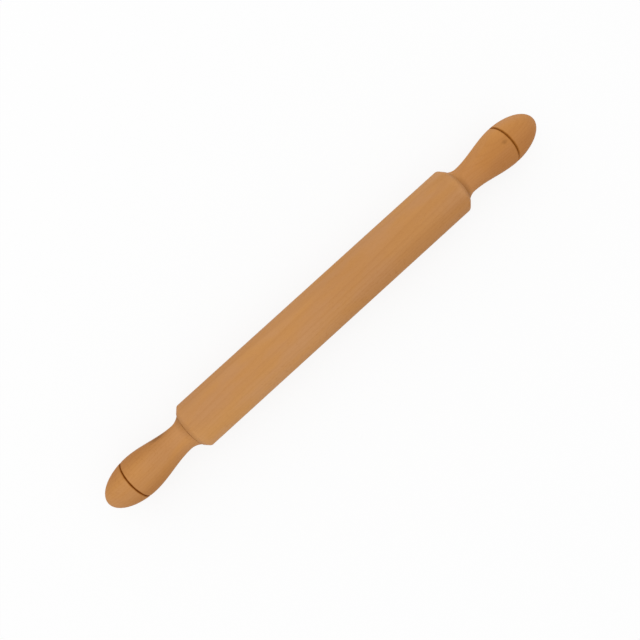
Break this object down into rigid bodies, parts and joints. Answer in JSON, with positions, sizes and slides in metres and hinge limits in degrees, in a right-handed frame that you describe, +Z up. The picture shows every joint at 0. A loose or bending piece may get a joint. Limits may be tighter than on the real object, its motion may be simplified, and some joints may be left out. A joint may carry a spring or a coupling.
{
  "type": "rolling pin",
  "caption": "Wooden rolling pin: a bevelled barrel that revolves on an axle between turned, egg-shaped handles, for rolling out dough.",
  "frame": {"origin": "middle of the barrel's underside, on the worktop that the pin lies on", "axes": "+X along the pin towards its right handle, +Z up from the worktop, the pin's axis at half the barrel's diameter above it"},
  "size_m": [0.4374, 0.04, 0.04],
  "materials": {
    "barrel_wood": "smooth sanded hardwood, satin oil",
    "handle_wood": "smooth turned hardwood, satin oil, with a burnt ring groove",
    "axle_steel": "bright zinc-plated steel",
    "bush_nylon": "natural nylon"
  },
  "bodies": {
    "spindle": {"axle_rod": "axle_steel", "left_thrust_washer": "axle_steel", "left_handle": "handle_wood", "left_nut_washer": "axle_steel", "left_axle_nut": "axle_steel", "left_end_cap": "handle_wood", "right_thrust_washer": "axle_steel", "right_handle": "handle_wood", "right_nut_washer": "axle_steel", "right_axle_nut": "axle_steel", "right_end_cap": "handle_wood"},
    "roller": {"barrel": "barrel_wood", "left_bush": "bush_nylon", "right_bush": "bush_nylon"}
  },
  "joints": [
    {"name": "barrel_spin", "type": "hinge", "parent": "spindle", "child": "roller", "pos_m": [0, 0, 0.02], "axis": [1, 0, 0], "continuous": true}
  ]
}
